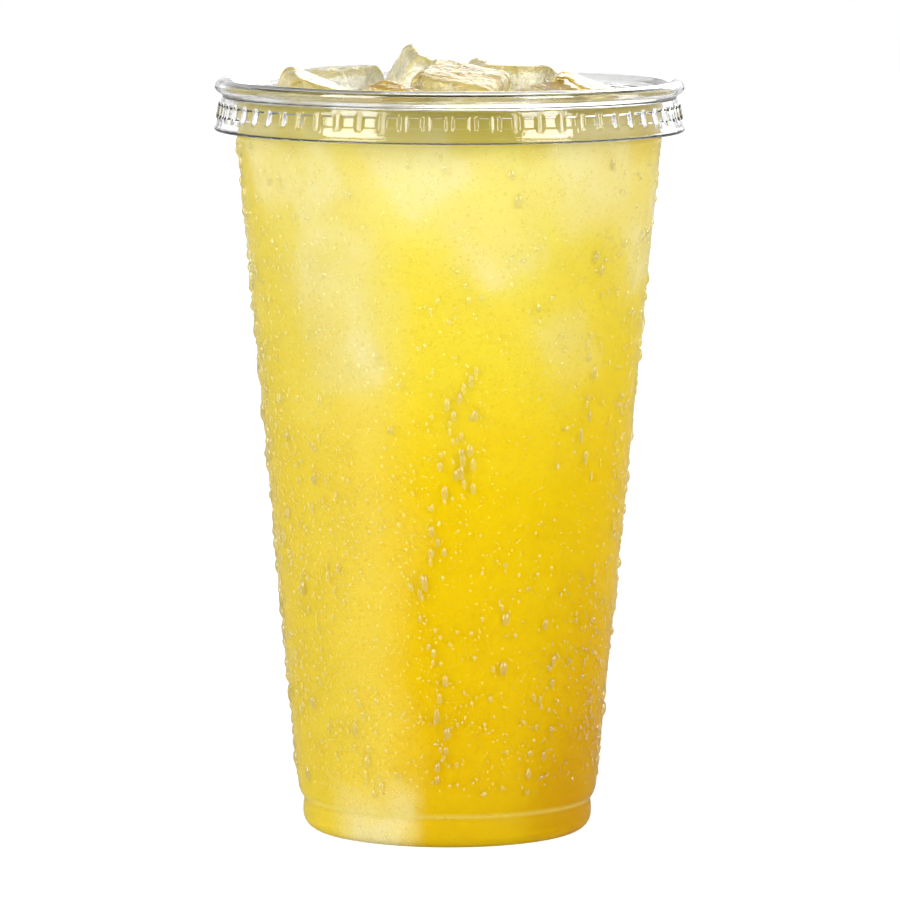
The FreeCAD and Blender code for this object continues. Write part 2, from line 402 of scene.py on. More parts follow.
# %% Ice above the drink
ice_nodes = sorted(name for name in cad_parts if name.startswith("ice_"))
top_ice = []
for number, node in enumerate(ice_nodes, start=1):
    cube = bpy.data.objects.new("heap_" + node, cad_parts[node].data.copy())
    cube.data.materials.clear()
    bpy.context.collection.objects.link(cube)
    remesh = cube.modifiers.new("fine skin", "REMESH")
    remesh.mode = "VOXEL"
    remesh.voxel_size = 0.55 * MM
    soften = cube.modifiers.new("melt", "SMOOTH")
    soften.factor = 0.5
    soften.iterations = 2
    apply_modifiers(cube)
    roughen(cube, number, 0.6, 0.10)
    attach(cube, "root")
    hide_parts(node)
    top_ice.append(cube)
print("ice cubes in the heap:", len(top_ice), "faces in all:", sum(len(c.data.polygons) for c in top_ice))

# %% [markdown]
# ## Ice under the surface
# Through a cloudy drink only the ice that lies near the wall shows, as paler, soft-edged facets.
# Each sunk cube turns one face to the wall. It is placed by its angle round the cup and its height,
# and the face leans so that one edge almost touches the wall and the rest falls back into the drink.

# %% Sunk ice
# angle in degrees (0 right, -90 front), height, turn of the face, size, face to wall, lean, swing
SUNK_ICE = [
    (-99, 146, 37, 19, 0.3, -15, -6), (-130, 144, 27, 16, 0.3, -8, -16), (-77, 129, 34, 17, 2.2, -12, 4),
    (-122, 108, 12, 17, 1.8, 4, -12), (-46, 146, 10, 23, 0.9, 14, 4), (-52, 108, 24, 14, 2.8, 12, 8),
    (-127, 125, -8, 20, 1.9, 8, 10), (-150, 146, 35, 18, 1.2, 10, 8), (-20, 128, 22, 18, 1.6, -12, 10),
    (176, 128, 20, 20, 1.0, 8, -10), (150, 146, 50, 21, 0.8, -8, 8), (118, 141, 30, 20, 0.6, 10, -12),
    (88, 147, 12, 21, 0.9, -10, 8), (60, 137, 44, 20, 0.7, 12, 10), (28, 144, 25, 20, 1.0, -12, -8),
    (2, 136, 35, 20, 1.4, 10, 6), (140, 116, 22, 20, 1.8, 12, -8), (100, 112, 55, 19, 1.6, -12, 8),
    (64, 112, 16, 20, 2.0, 10, 12),
]
BLOCK_CUTS = 14
BLOCK_POWER = 7.0
KEEP_INSIDE = 0.3


def rounded_block(size, power, cuts):
    """Points and faces of a cube whose edges are rounded by a power norm."""
    work = bmesh.new()
    bmesh.ops.create_cube(work, size=2.0)
    bmesh.ops.subdivide_edges(work, edges=work.edges, cuts=cuts, use_grid_fill=True)
    points = np.array([v.co for v in work.verts])
    faces = [tuple(v.index for v in f.verts) for f in work.faces]
    work.free()
    norm = (np.abs(points) ** power).sum(axis=1) ** (1.0 / power)
    return points / norm[:, None] * (size / 2), faces


sunk_points, sunk_faces = [], []
offset = 0
for number, (angle, height, turn, size, gap, lean, swing) in enumerate(SUNK_ICE):
    points, faces = rounded_block(size, BLOCK_POWER, BLOCK_CUTS)
    points = points * np.array([1.0, 0.9, 1.08])
    pose = (Matrix.Rotation(math.radians(angle + swing), 3, "Z")
            @ Matrix.Rotation(math.radians(lean), 3, "Y")
            @ Matrix.Rotation(math.radians(turn), 3, "X"))
    wobble = np.array([chip(p + 60.0, number + 20, 2.2, 0.08) for p in points])
    points = points * (1 + wobble / np.linalg.norm(points, axis=1))[:, None]
    points = points @ np.array(pose).T
    away = drink_radius(height) - gap - size / 2
    angle = math.radians(angle)
    points = points + np.array([away * math.cos(angle), away * math.sin(angle), height])
    reach = np.hypot(points[:, 0], points[:, 1])
    limit = drink_radius(points[:, 2]) - KEEP_INSIDE
    points[:, :2] *= np.minimum(1.0, limit / reach)[:, None]
    points[:, 2] = np.minimum(points[:, 2], LEVEL - 1.0)
    sunk_points.append(points)
    sunk_faces.extend(tuple(i + offset for i in f) for f in faces)
    offset += len(points)
sunk = mesh_piece("sunk_ice", np.concatenate(sunk_points), sunk_faces, sharp_degrees=0)
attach(sunk, "root")
print("sunk cubes:", len(SUNK_ICE), "faces:", len(sunk_faces))

# %% [markdown]
# ## How much the ice pales the drink
# Pulp scatters light, so ice pales the drink most where it touches the wall, and its outline blurs
# as it lies deeper. From a grid of points on the wall a ray goes straight in, and the distance to
# the first ice gives three layers: a nearly sharp one for ice at the wall and two softer ones for
# ice further in. Their sum is kept on the drink's mesh as an attribute, which the material reads.

# %% Ice seen through the wall
GRID_TURNS = 480
GRID_ROWS = 240
GRID_LOW = 4.0
NO_ICE = 60.0                 # the distance kept where a ray meets no ice
PALE_LAYERS = ((0.38, 1.8, 2), (0.26, 5.0, 16), (0.18, 12.0, 160))   # share, reach in mm, blurs
ice_tree = BVHTree.FromPolygons([v.co.copy() for v in sunk.data.vertices],
                                [tuple(f.vertices) for f in sunk.data.polygons])


def blurred(grid, passes):
    """Soften a grid that wraps round the cup and ends at its top and bottom."""
    for step in range(passes):
        grid = (np.roll(grid, 1, axis=0) + 2 * grid + np.roll(grid, -1, axis=0)) / 4
        padded = np.pad(grid, ((0, 0), (1, 1)), mode="edge")
        grid = (padded[:, :-2] + 2 * padded[:, 1:-1] + padded[:, 2:]) / 4
    return grid


grid_heights = np.linspace(GRID_LOW, LEVEL, GRID_ROWS)
ice_distance = np.full((GRID_TURNS, GRID_ROWS), NO_ICE)
for turn in range(GRID_TURNS):
    angle = 2 * math.pi * turn / GRID_TURNS
    inward = Vector((-math.cos(angle), -math.sin(angle), 0.0))
    for row, height in enumerate(grid_heights):
        reach = drink_radius(height) * MM
        start = Vector((reach * math.cos(angle), reach * math.sin(angle), height * MM))
        hit = ice_tree.ray_cast(start, inward, 0.02)[3]
        if hit is not None:
            ice_distance[turn, row] = hit / MM
paleness = sum(share * blurred(np.exp(-ice_distance / far), passes) for share, far, passes in PALE_LAYERS)

values = []
for vertex in drink.data.vertices:
    turn = int(round(math.atan2(vertex.co.y, vertex.co.x) / (2 * math.pi) * GRID_TURNS)) % GRID_TURNS
    up = (vertex.co.z / MM - GRID_LOW) / (LEVEL - GRID_LOW)
    row = int(np.clip(round(up * (GRID_ROWS - 1)), 0, GRID_ROWS - 1))
    values.append(float(paleness[turn, row]))
ice_shown = drink.data.attributes.new("ice_paleness", "FLOAT", "POINT")
ice_shown.data.foreach_set("value", values)
print("paleness from %.2f to %.2f" % (paleness.min(), paleness.max()))

# %% [markdown]
# ## Condensation
# Water from the air settles on the cold wall as thousands of tiny domes, with some that have grown
# and a few that have begun to run and draw out into a tear. One function makes a dome of any size
# and stretch and another sits it on the tapered wall. Each family is one joined mesh, so that it
# survives the export, where instances and particles would be lost.

# %% Condensation
def drop_shape(sides, rings):
    """A unit dome: radius 1, height 1, open below, where it meets the wall."""
    around = [2 * math.pi * side / sides for side in range(sides)]
    points, faces = [], []
    for ring in range(rings):
        lift = ring / rings * (math.pi / 2)
        reach = math.cos(lift)
        points += [(reach * math.cos(a), reach * math.sin(a), math.sin(lift)) for a in around]
    points.append((0, 0, 1.0))
    for side in range(sides):
        after = (side + 1) % sides
        for ring in range(rings - 1):
            here, above = ring * sides, (ring + 1) * sides
            faces.append((here + side, here + after, above + after, above + side))
        faces.append(((rings - 1) * sides + side, (rings - 1) * sides + after, rings * sides))
    return np.array(points), faces


def sit_on_wall(shape, angle, height, radius, stretch, tall, tear):
    """Place a dome on the wall. stretch lengthens it down the wall, tear narrows its top."""
    across = shape[:, 0] * radius
    along = shape[:, 1] * radius * stretch
    out = shape[:, 2] * radius * tall
    across = across * (1 - tear * np.clip(shape[:, 1] * 0.5 + 0.5, 0, 1))
    out = out * (1 - 0.5 * tear * np.clip(shape[:, 1], 0, 1)) - 0.03
    z = height + along
    wall = np.where(z > SHOULDER_HEIGHT, body_radius(z), COLLAR_RADIUS)
    spin = angle + across / wall
    return np.stack([(wall + out) * np.cos(spin), (wall + out) * np.sin(spin), z], axis=1)


def join_drops(name, shape, places):
    """One joined mesh of drops, each placed by (angle, height, radius, stretch, tall, tear)."""
    unit, unit_faces = shape
    all_points, all_faces = [], []
    for number, place in enumerate(places):
        base = number * len(unit)
        all_points.append(sit_on_wall(unit, *place))
        all_faces.extend(tuple(i + base for i in f) for f in unit_faces)
    piece = mesh_piece(name, np.concatenate(all_points), all_faces, sharp_degrees=60)
    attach(piece, "root")
    print(name, "drops", len(places), "faces", len(all_faces))
    return piece


def scatter(count, sizes, seed, stretch, tear, accept):
    """Random places for drops, kept where accept() allows."""
    rng = random.Random(seed)
    places = []
    while len(places) < count:
        angle = rng.uniform(-math.pi, math.pi)
        height = rng.uniform(11.5, 149.0)
        chance = rng.random()
        radius = sizes[0] + (sizes[1] - sizes[0]) * rng.random() ** 2.2
        place = (angle, height, radius, rng.uniform(*stretch), rng.uniform(0.5, 0.8), rng.uniform(*tear))
        if chance < accept(angle, height):
            places.append(place)
    return places


def trail(angle, top, bottom, count, drift, seed):
    """Drops left behind by one that has run down the wall, in a loose slanting line."""
    rng = random.Random(seed)
    places = []
    for step in range(count):
        share = (step + rng.random()) / count
        height = top + (bottom - top) * share
        where = math.radians(angle + drift * share + rng.gauss(0, 2.2))
        places.append((where, height, rng.uniform(0.45, 0.95), rng.uniform(1.3, 2.0),
                       rng.uniform(0.5, 0.7), rng.uniform(0.2, 0.6)))
    return places


def mist_density(angle, height):
    """The mist is thicker low on the cup and towards its left, thin near the ring."""
    low = min(1.0, max(0.2, (150 - height) / 75))
    left = 0.45 + 0.55 * max(0.0, -math.cos(angle))
    return low * left


def bead_density(angle, height):
    """Beads gather in patches, and more at the cup's two sides than at its front and back."""
    patch = noise.noise(Vector((math.cos(angle) * 2.5, math.sin(angle) * 2.5, height / 26.0)))
    side = 0.35 + 0.65 * abs(math.cos(angle)) ** 4
    return min(1.0, max(0.04, 0.35 + 1.3 * patch)) * side * min(1.0, (160 - height) / 40)


def side_density(angle, height):
    """Swollen drops that stand out along the cup's left side, and fewer along its right."""
    left = math.exp(-((abs(angle) - math.pi) / 0.24) ** 2)
    right = 0.4 * math.exp(-(angle / 0.22) ** 2)
    return max(left, right, 0.012) * min(1.0, (158 - height) / 20)


mist = join_drops("mist_drops", drop_shape(6, 2), scatter(
    9500, (0.14, 0.32), 5, (0.95, 1.15), (0.0, 0.15), mist_density))
beads = join_drops("bead_drops", drop_shape(10, 3), scatter(
    2300, (0.30, 0.62), 11, (1.0, 1.35), (0.0, 0.35), bead_density))
swollen = join_drops("swollen_drops", drop_shape(14, 5), scatter(
    420, (0.45, 1.15), 17, (1.1, 1.7), (0.0, 0.3), side_density))
# angle in degrees, top and bottom in mm, drops, and how far the line drifts sideways in degrees
TRAILS = [
    (-82, 104, 54, 24, -18), (-91, 97, 76, 9, 8), (-46, 112, 78, 10, 6), (-132, 96, 70, 8, -6),
    (-98, 58, 12, 14, 8), (-124, 34, 10, 9, 5), (-52, 52, 14, 9, -4), (60, 110, 60, 20, 8),
    (150, 100, 40, 20, -10),
]
tear_places = scatter(60, (0.6, 1.0), 23, (1.2, 1.9), (0.25, 0.6), bead_density)
for number, (angle, top, bottom, count, drift) in enumerate(TRAILS):
    tear_places += trail(angle, top, bottom, count, drift, 40 + number)
tears = join_drops("tear_drops", drop_shape(16, 5), tear_places)
drops = [mist, beads, swollen, tears]

# %% [markdown]
# ## Materials: helpers
# A material here is a handful of nodes round one Principled shader. These helpers keep the wiring
# short: one makes a material with its shader, one adds a node with its values set, and one draws a
# value from a place on the object, in millimetres, so that a colour can follow the height of the cup.

# %% Node helpers
def new_material(name):
    """A material with an empty tree, its Principled shader and its output already joined."""
    material = bpy.data.materials.new(name)
    material.use_nodes = True
    tree = material.node_tree
    tree.nodes.clear()
    output = tree.nodes.new("ShaderNodeOutputMaterial")
    shader = tree.nodes.new("ShaderNodeBsdfPrincipled")
    tree.links.new(shader.outputs["BSDF"], output.inputs["Surface"])
    return material, tree, shader


def add(tree, kind, inputs=None, **settings):
    """A node of a kind, with settings on the node and values or links on its inputs."""
    node = tree.nodes.new(kind)
    for key, value in settings.items():
        setattr(node, key, value)
    for key, value in (inputs or {}).items():
        if isinstance(value, bpy.types.NodeSocket):
            tree.links.new(value, node.inputs[key])
        else:
            node.inputs[key].default_value = value
    return node


def ramp(tree, value, stops):
    """A colour ramp over a value, from (position, colour) stops."""
    node = add(tree, "ShaderNodeValToRGB", {"Fac": value})
    elements = node.color_ramp.elements
    while len(elements) < len(stops):
        elements.new(0.5)
    for element, (position, colour) in zip(elements, stops):
        element.position = position
        element.color = (*colour, 1.0)
    return node.outputs["Color"]


def linear(red, green, blue):
    """A colour as a screen shows it, 0 to 255, turned into the linear values that nodes use."""
    out = []
    for value in (red, green, blue):
        value = value / 255
        out.append(value / 12.92 if value <= 0.04045 else ((value + 0.055) / 1.055) ** 2.4)
    return tuple(out)


def along(tree, low, high, axis="Z"):
    """A value from 0 to 1 as a point goes from low to high mm along an axis of the object."""
    place = add(tree, "ShaderNodeTexCoord").outputs["Object"]
    split = add(tree, "ShaderNodeSeparateXYZ", {"Vector": place})
    return remap(tree, split.outputs[axis], low * MM, high * MM)


def speckle(tree, size, detail=3.0, roughness=0.5, distortion=0.0):
    """Soft noise whose blobs are about a size in mm."""
    place = add(tree, "ShaderNodeTexCoord").outputs["Object"]
    return add(tree, "ShaderNodeTexNoise", {
        "Vector": place, "Scale": 1.0 / (size * MM), "Detail": detail,
        "Roughness": roughness, "Distortion": distortion}).outputs["Fac"]


def mix(tree, share, first, second):
    """Mix two colours by a share."""
    node = tree.nodes.new("ShaderNodeMix")
    node.data_type = "RGBA"
    for socket, value in ((node.inputs[0], share), (node.inputs[6], first), (node.inputs[7], second)):
        if isinstance(value, bpy.types.NodeSocket):
            tree.links.new(value, socket)
        elif isinstance(value, tuple):
            socket.default_value = (*value, 1.0)
        else:
            socket.default_value = value
    return node.outputs[2]


def remap(tree, value, low, high, to_low=0.0, to_high=1.0, soft=False):
    """A value taken from one range to another, clamped, with a soft start and end if wanted."""
    kind = "SMOOTHSTEP" if soft else "LINEAR"
    return add(tree, "ShaderNodeMapRange", {
        "Value": value, "From Min": low, "From Max": high, "To Min": to_low, "To Max": to_high},
        interpolation_type=kind).outputs["Result"]


def maths(tree, operation, first, second=0.0):
    """One step of arithmetic on values."""
    return add(tree, "ShaderNodeMath", {0: first, 1: second}, operation=operation).outputs[0]


def new_group(name, inputs, outputs):
    """A node group with named sockets. Returns its tree, its input sockets and its output node."""
    group = bpy.data.node_groups.new(name, "ShaderNodeTree")
    for label, kind in inputs.items():
        group.interface.new_socket(label, in_out="INPUT", socket_type="NodeSocket" + kind)
    for label, kind in outputs.items():
        group.interface.new_socket(label, in_out="OUTPUT", socket_type="NodeSocket" + kind)
    entry = group.nodes.new("NodeGroupInput")
    leave = group.nodes.new("NodeGroupOutput")
    print(name, "sockets:", [item.name for item in group.interface.items_tree])
    return group, entry.outputs, leave.inputs


def use_group(tree, group, **inputs):
    """Place a group in a material, with its inputs set by name (spaces written as underscores)."""
    values = {label.replace("_", " "): value for label, value in inputs.items()}
    return add(tree, "ShaderNodeGroup", values, node_tree=group).outputs


# %% [markdown]
# ## A shared effect: moulded skin
# Thin moulded plastic and wet ice are never optically flat. This group makes a height from two
# sizes of noise. Each material sets its own sizes and feeds the height to a Bump node, and the cup,
# the ring and the ice all use it.

# %% Moulded skin group
skin_group, given, result = new_group(
    "moulded_skin",
    {"Broad size": "Float", "Fine size": "Float", "Fine share": "Float"},
    {"Height": "Float"})
place = add(skin_group, "ShaderNodeTexCoord").outputs["Object"]
layers = []
for label in ("Broad size", "Fine size"):
    scale = maths(skin_group, "DIVIDE", 1.0 / MM, given[label])
    layers.append(add(skin_group, "ShaderNodeTexNoise", {
        "Vector": place, "Scale": scale, "Detail": 2.0}).outputs["Fac"])
fine = maths(skin_group, "MULTIPLY", layers[1], given["Fine share"])
skin_group.links.new(maths(skin_group, "ADD", layers[0], fine), result["Height"])


def skin_bump(tree, broad, fine_size, share, strength, distance):
    """A normal from the moulded skin group."""
    skin = use_group(tree, skin_group, Broad_size=broad, Fine_size=fine_size, Fine_share=share)
    bump = add(tree, "ShaderNodeBump", {
        "Strength": strength, "Distance": distance * MM, "Height": skin["Height"]})
    return bump.outputs["Normal"]


# %% [markdown]
# ## A shared effect: the finest mist
# The smallest drops are finer than a mesh is worth. The cells of a Voronoi texture stand in for
# them: each cell holds one disc of its own size, with a painted highlight in the middle and a painted
# dark rim of shade at its edge, and the dome's height bends the light. Two layers of it, with
# different cell sizes, cover the wall.

# %% Fine mist group
mist_group, given, result = new_group(
    "fine_mist_and_painted_glints",
    {"Cell size": "Float", "Cover": "Float"},
    {"Height": "Float", "Edge": "Float", "Painted glint": "Float"})
place = add(mist_group, "ShaderNodeTexCoord").outputs["Object"]
scale = maths(mist_group, "DIVIDE", 1.0 / MM, given["Cell size"])
cells = add(mist_group, "ShaderNodeTexVoronoi", {"Vector": place, "Scale": scale}, feature="F1")
chance = add(mist_group, "ShaderNodeSeparateColor", {"Color": cells.outputs["Color"]}).outputs
present = maths(mist_group, "LESS_THAN", chance["Red"], given["Cover"])
disc = remap(mist_group, chance["Green"], 0.0, 1.0, 0.22, 0.52)
reach = maths(mist_group, "DIVIDE", cells.outputs["Distance"], disc)
inside = maths(mist_group, "MULTIPLY", remap(mist_group, reach, 0.95, 1.1, 1.0, 0.0), present)
dome = maths(mist_group, "SQRT", remap(mist_group, reach, 0.0, 1.0, 1.0, 0.0))
# Painted shade: a dark rim round each drop.
edge = maths(mist_group, "MULTIPLY", remap(mist_group, reach, 0.65, 0.95, soft=True), inside)
# Painted highlight: a pale spot in each drop's middle.
painted_drop_glint = maths(mist_group, "MULTIPLY", remap(mist_group, reach, 0.45, 0.75, 1.0, 0.0, soft=True), present)
mist_group.links.new(maths(mist_group, "MULTIPLY", dome, inside), result["Height"])
mist_group.links.new(edge, result["Edge"])
mist_group.links.new(painted_drop_glint, result["Painted glint"])

# %% [markdown]
# ## Clear plastic
# The ring is dry, smooth PET, which bends light strongly. The body of the cup looks different: the
# drink wets its inner side, so only the outer side reflects, and mist too fine to model fogs it. Its
# index is kept low for that, and its roughness varies in patches.

# %% Clear plastic
ring_material, tree, shader = new_material("clear_ring_plastic")
shader.inputs["Transmission Weight"].default_value = 1.0
shader.inputs["IOR"].default_value = 1.5
tint = mix(tree, speckle(tree, 14), (0.985, 0.99, 0.99), (0.95, 0.955, 0.955))
tree.links.new(tint, shader.inputs["Base Color"])
tree.links.new(remap(tree, speckle(tree, 6), 0.0, 1.0, 0.0, 0.05), shader.inputs["Roughness"])
tree.links.new(skin_bump(tree, 7.0, 1.2, 0.15, 0.3, 0.25), shader.inputs["Normal"])
ring.data.materials.append(ring_material)

cup_material, tree, shader = new_material("fogged_cup_plastic")
shader.inputs["Transmission Weight"].default_value = 1.0
shader.inputs["IOR"].default_value = 1.12
below_ring = remap(tree, along(tree, 0.0, 160.0), 0.925, 0.945, 1.0, 0.0)
more_low = remap(tree, along(tree, 0.0, 160.0), 0.2, 0.92, 1.0, 0.3)
patchy = remap(tree, speckle(tree, 16.0, 3.0), 0.35, 0.65, 0.6, 1.2)
cover = maths(tree, "MULTIPLY", maths(tree, "MULTIPLY", more_low, patchy), below_ring)
edge, painted_drop_glint, height = 0.0, 0.0, 0.0
for cell_size in (0.62, 0.95):
    drops_here = use_group(tree, mist_group, Cell_size=cell_size, Cover=cover)
    edge = maths(tree, "MAXIMUM", edge, drops_here["Edge"])
    painted_drop_glint = maths(tree, "MAXIMUM", painted_drop_glint, drops_here["Painted glint"])
    height = maths(tree, "MAXIMUM", height, drops_here["Height"])
plain = mix(tree, speckle(tree, 9), (0.88, 0.88, 0.86), (0.84, 0.84, 0.82))
# The tint carries the mist's painted dark rims and painted highlights.
painted_rim_tint = mix(tree, edge, plain, (0.68, 0.60, 0.34))
tint = mix(tree, painted_drop_glint, painted_rim_tint, (1.0, 1.0, 1.0))
tree.links.new(tint, shader.inputs["Base Color"])
fog = remap(tree, speckle(tree, 4.0, 4.0, 0.6), 0.35, 0.65, 0.10, 0.20)
tree.links.new(maths(tree, "MULTIPLY", fog, below_ring), shader.inputs["Roughness"])
bump = add(tree, "ShaderNodeBump", {"Strength": 0.5, "Distance": 0.12 * MM, "Height": height,
                                    "Normal": skin_bump(tree, 5.0, 0.45, 0.5, 0.3, 0.12)})
tree.links.new(bump.outputs["Normal"], shader.inputs["Normal"])
cup.data.materials.append(cup_material)

# %% [markdown]
# ## Lemonade
# Cloudy juice scatters some light under its surface, so its shader has a subsurface share. Its
# colour is frothy and pale near the top, where melting ice thins it, and a deep gold lower down.
# Over that one ramp go soft layers of painted light and shade: painted light on the side towards the
# window, painted shade that turns the far side amber low down, painted shade on the edge nearest the
# window, a painted pool of window light on one patch of the foot and a painted highlight along the
# crease. Two materials use it, so it is a group.

# %% Lemonade colour group
DEPTH_TONES = [(0.03, (222, 184, 14)), (0.10, (231, 190, 10)), (0.48, (240, 206, 8)), (0.66, (241, 219, 56)),
               (0.80, (240, 222, 74)), (0.915, (245, 232, 130)), (0.955, (232, 212, 92))]
# Painted light: paler tones for the side towards the window.
PAINTED_WINDOW_LIGHT_TONES = [(0.5, (242, 214, 76)), (0.7, (236, 220, 104))]
# Painted shade along the drink's edge nearest the window.
PAINTED_EDGE_SHADE_TONE = (224, 198, 50)
# Painted shade: the far side, away from the window, turns amber low down.
AMBER_SHADE_TONE = (206, 154, 6)
FOOT_LIGHT_TONE = (240, 226, 160)
ICE_TONE = (243, 234, 178)
# Painted highlight: a pale line along the crease above the foot.
CREASE_HIGHLIGHT_TONE = (250, 236, 130)


def tone_ramp(tree, value, tones):
    """A colour ramp from tones written as a screen shows them."""
    return ramp(tree, value, [(stop, linear(*tone)) for stop, tone in tones])


# The group's colour is the drink's own tones with painted light and shade laid over them.
juice_group, given, result = new_group("lemonade_colour_and_painted_light", {"Ice paleness": "Float"}, {"Colour": "Color"})
swirl = speckle(juice_group, 24.0, 3.0, 0.5, 0.6)
stir = remap(juice_group, swirl, 0.3, 0.7, -0.03, 0.03)
stirred = maths(juice_group, "ADD", along(juice_group, 0.0, 160.0), stir)
spot = add(juice_group, "ShaderNodeTexCoord").outputs["Object"]
spot = add(juice_group, "ShaderNodeSeparateXYZ", {"Vector": spot}).outputs
wall = maths(juice_group, "ADD", maths(juice_group, "MULTIPLY", spot["Z"], BODY_TAPER), 31.0 * MM)
across = maths(juice_group, "ADD", maths(juice_group, "DIVIDE", spot["X"], wall),
               remap(juice_group, swirl, 0.3, 0.7, -0.12, 0.12))
colour = tone_ramp(juice_group, stirred, DEPTH_TONES)
# Painted light on the side towards the window.
painted_window_light = remap(juice_group, across, -0.12, -0.50, soft=True)
colour = mix(juice_group, painted_window_light, colour, tone_ramp(juice_group, stirred, PAINTED_WINDOW_LIGHT_TONES))
# Painted shade along the edge nearest the window.
painted_left_edge_shade = remap(juice_group, across, -0.50, -0.92, 0.0, 0.5, soft=True)
colour = mix(juice_group, painted_left_edge_shade, colour, linear(*PAINTED_EDGE_SHADE_TONE))
# Painted shade: amber on the far side, low down.
low_down = ramp(juice_group, stirred, [(0.05, (1.0,) * 3), (0.20, (0.5,) * 3), (0.40, (0.2,) * 3)])
painted_far_side_shade = maths(juice_group, "MULTIPLY", remap(juice_group, across, 0.40, 0.86, soft=True), low_down)
colour = mix(juice_group, painted_far_side_shade, colour, linear(*AMBER_SHADE_TONE))
lit_patch = maths(juice_group, "MULTIPLY", painted_window_light, remap(juice_group, across, -0.92, -0.50, soft=True))
foot_light = maths(juice_group, "MULTIPLY", lit_patch, remap(juice_group, stirred, 0.10, 0.03))
colour = mix(juice_group, foot_light, colour, linear(*FOOT_LIGHT_TONE))
flecks = remap(juice_group, speckle(juice_group, 5.0, 5.0, 0.6), 0.3, 0.7, 0.6, 1.0)
pale_share = maths(juice_group, "MULTIPLY", given["Ice paleness"], flecks)
colour = mix(juice_group, pale_share, colour, linear(*ICE_TONE))
# Painted highlight along the crease.
below_crease = remap(juice_group, spot["Z"], 6.2 * MM, 6.9 * MM, 0.0, 0.45)
above_crease = remap(juice_group, spot["Z"], 6.9 * MM, 7.8 * MM, 1.0, 0.0)
painted_crease_highlight = maths(juice_group, "MULTIPLY", below_crease, above_crease)
colour = mix(juice_group, painted_crease_highlight, colour, linear(*CREASE_HIGHLIGHT_TONE))
juice_group.links.new(colour, result["Colour"])


# %% [markdown]
# ## Two materials for the drink
# Where the drink wets the plastic there is no film of air to mirror the room, so the wall side has
# no gloss. The open surface is an ordinary wet one. Each face of the mesh takes one of the two.

# %% Lemonade materials
def drink_material(name, gloss, roughness):
    """Lemonade: without gloss where it wets the wall, glossy where it meets the air."""
    material, tree, shader = new_material(name)
    shader.inputs["Subsurface Weight"].default_value = 0.18
    shader.inputs["Subsurface Radius"].default_value = (1.0, 0.8, 0.3)
    shader.inputs["Subsurface Scale"].default_value = 2.0 * MM
    shader.inputs["IOR"].default_value = 1.34
    shader.inputs["Specular IOR Level"].default_value = gloss
    shown = add(tree, "ShaderNodeAttribute", attribute_name="ice_paleness").outputs["Fac"]
    juice = use_group(tree, juice_group, Ice_paleness=shown)
    tree.links.new(juice["Colour"], shader.inputs["Base Color"])
    uneven = remap(tree, speckle(tree, 8.0), 0.0, 1.0, roughness, roughness + 0.1)
    tree.links.new(uneven, shader.inputs["Roughness"])
    return material


drink.data.materials.append(drink_material("lemonade_at_wall", 0.0, 0.4))
drink.data.materials.append(drink_material("lemonade_surface", 0.5, 0.05))
for face in drink.data.polygons:
    face.material_index = 1 if face.center.z > (LEVEL - 0.4) * MM and face.normal.z > 0.3 else 0

# %% [markdown]
# ## Ice
# Ice is clear with white crackle where it froze last or cracked, so the light that goes through it
# drops where the crackle is. Low on the heap the crackle shows most. How golden a cube looks depends
# on how much drink lies on and behind it, which is set cube by cube and kept on its mesh.

# %% Ice materials
GOLD = {"ice_1": 0.40, "ice_2": 0.12, "ice_3": 0.10, "ice_4": 1.0, "ice_5": 0.45, "ice_6": 0.30,
        "ice_7": 0.50, "ice_8": 0.80}
heap_material, tree, shader = new_material("heap_ice")
shader.inputs["IOR"].default_value = 1.31
cracks = add(tree, "ShaderNodeTexVoronoi", {
    "Vector": add(tree, "ShaderNodeTexCoord").outputs["Object"], "Scale": 1.0 / (2.6 * MM)},
    feature="DISTANCE_TO_EDGE").outputs["Distance"]
crackle = remap(tree, cracks, 0.0, 0.12, 1.0, 0.0)
cloudy = remap(tree, speckle(tree, 5.0, 4.0, 0.6), 0.46, 0.60)
low_part = remap(tree, along(tree, LEVEL, LEVEL + 6.0), 0.25, 0.85, 1.0, 0.0, soft=True)
white_low = maths(tree, "MULTIPLY", low_part, cloudy)
white_cracks = maths(tree, "MULTIPLY", crackle, cloudy)
white = maths(tree, "MAXIMUM", white_low, white_cracks)
gold = add(tree, "ShaderNodeAttribute", attribute_name="gold").outputs["Fac"]
film = mix(tree, gold, linear(252, 251, 236), linear(244, 214, 50))
white = maths(tree, "MULTIPLY", white, remap(tree, gold, 0.3, 1.0, 1.0, 0.15))
tree.links.new(mix(tree, white, film, (0.95, 0.95, 0.93)), shader.inputs["Base Color"])
tree.links.new(remap(tree, white, 0.0, 1.0, 0.06, 0.30), shader.inputs["Roughness"])
tree.links.new(remap(tree, white, 0.0, 1.0, 0.93, 0.50), shader.inputs["Transmission Weight"])
tree.links.new(skin_bump(tree, 2.6, 0.8, 0.5, 0.6, 0.6), shader.inputs["Normal"])
for cube in top_ice:
    cube.data.materials.append(heap_material)
    share = GOLD[cube.name.replace("heap_", "")]
    shown = cube.data.attributes.new("gold", "FLOAT", "POINT")
    shown.data.foreach_set("value", [share] * len(cube.data.vertices))

sunk_material, tree, shader = new_material("sunk_ice")
shader.inputs["Transmission Weight"].default_value = 0.35
shader.inputs["IOR"].default_value = 1.31
shader.inputs["Roughness"].default_value = 0.3
dull = mix(tree, speckle(tree, 6.0), (0.97, 0.94, 0.72), (0.99, 0.98, 0.9))
tree.links.new(dull, shader.inputs["Base Color"])
tree.links.new(skin_bump(tree, 4.0, 1.0, 0.4, 0.4, 0.4), shader.inputs["Normal"])
sunk.data.materials.append(sunk_material)
